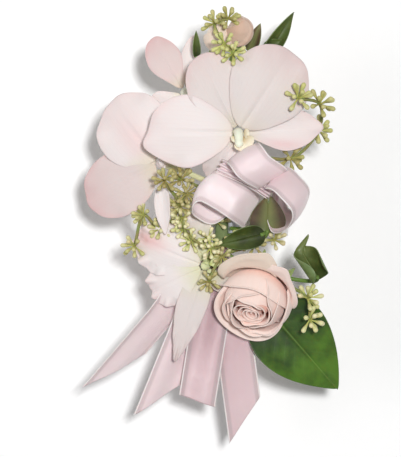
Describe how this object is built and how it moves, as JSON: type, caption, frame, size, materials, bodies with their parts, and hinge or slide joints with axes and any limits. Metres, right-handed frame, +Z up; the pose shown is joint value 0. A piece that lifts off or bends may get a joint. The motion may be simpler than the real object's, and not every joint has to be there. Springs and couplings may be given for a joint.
{
  "type": "wrist corsage",
  "caption": "Wrist corsage of orchids, a spray rose, buds, seeded eucalyptus, leaves and a satin bow with tails, wired to a taped stem clipped on an elastic band.",
  "frame": {"origin": "middle of the wrist opening inside the elastic band", "axes": "+Z up, the way the flowers face; +Y along the forearm, away from the ribbon tails; +X across the wrist, to the right with the tails towards the viewer"},
  "size_m": [0.11, 0.1864, 0.0832],
  "materials": {
    "elastic": "woven elastic with ribs along the wrist",
    "clip": "bright stamped sheet",
    "tape": "waxed crepe stem tape",
    "orchid": "satiny petal, white with a pink blush",
    "orchid_lip": "cream with a yellow-brown throat",
    "orchid_column": "pale green-white, waxy",
    "rose": "velvety petal, pale peach pink",
    "sepal": "matt green",
    "leaf": "glossy leaf",
    "seed": "matt yellow-green",
    "ribbon": "pale pink satin with sheer edges"
  },
  "bodies": {
    "root": {"wrist_band": "elastic", "wristlet_clip": "clip", "taped_stem": "tape", "bow_knot": "ribbon", "bow_loop_centre": "ribbon", "bow_loop_right": "ribbon", "bow_loop_left": "ribbon", "rose_core": "rose", "rose_inner_petal_1": "rose", "rose_inner_petal_2": "rose", "rose_inner_petal_3": "rose", "rose_outer_petal_1": "rose", "rose_outer_petal_2": "rose", "rose_outer_petal_3": "rose", "rose_outer_petal_4": "rose", "rose_outer_petal_5": "rose", "rose_calyx": "sepal", "front_orchid_column": "orchid_column", "front_orchid_lip": "orchid_lip", "front_orchid_left_petal": "orchid", "front_orchid_right_petal": "orchid", "front_orchid_dorsal_sepal": "orchid", "front_orchid_right_sepal": "orchid", "front_orchid_lower_sepal": "orchid", "left_orchid_column": "orchid_column", "left_orchid_lip": "orchid_lip", "left_orchid_upper_petal": "orchid", "left_orchid_lower_petal": "orchid", "left_orchid_dorsal_sepal": "orchid", "left_orchid_lower_sepal": "orchid", "left_orchid_upper_sepal": "orchid", "lower_orchid_column": "orchid_column", "lower_orchid_lip": "orchid_lip", "lower_orchid_upper_petal": "orchid", "lower_orchid_lower_petal": "orchid", "lower_orchid_lower_sepal": "orchid", "lower_orchid_upper_sepal": "orchid", "lower_orchid_right_sepal": "orchid", "back_orchid_column": "orchid_column", "back_orchid_left_petal": "orchid", "back_orchid_top_sepal": "orchid", "back_orchid_lower_petal": "orchid", "left_bud_calyx": "sepal", "left_bud": "rose", "right_bud_calyx": "sepal", "right_bud": "rose", "large_leaf": "leaf", "curled_leaf": "leaf", "bow_leaf": "leaf", "loop_leaf": "leaf", "top_leaf": "leaf", "top_sprig": "seed", "upper_right_sprig": "seed", "left_sprig": "seed", "centre_sprig": "seed", "right_sprig": "seed", "ribbon_tail_far_left": "ribbon", "ribbon_tail_left": "ribbon", "ribbon_tail_right": "ribbon", "ribbon_tail_middle": "ribbon"}
  },
  "joints": []
}
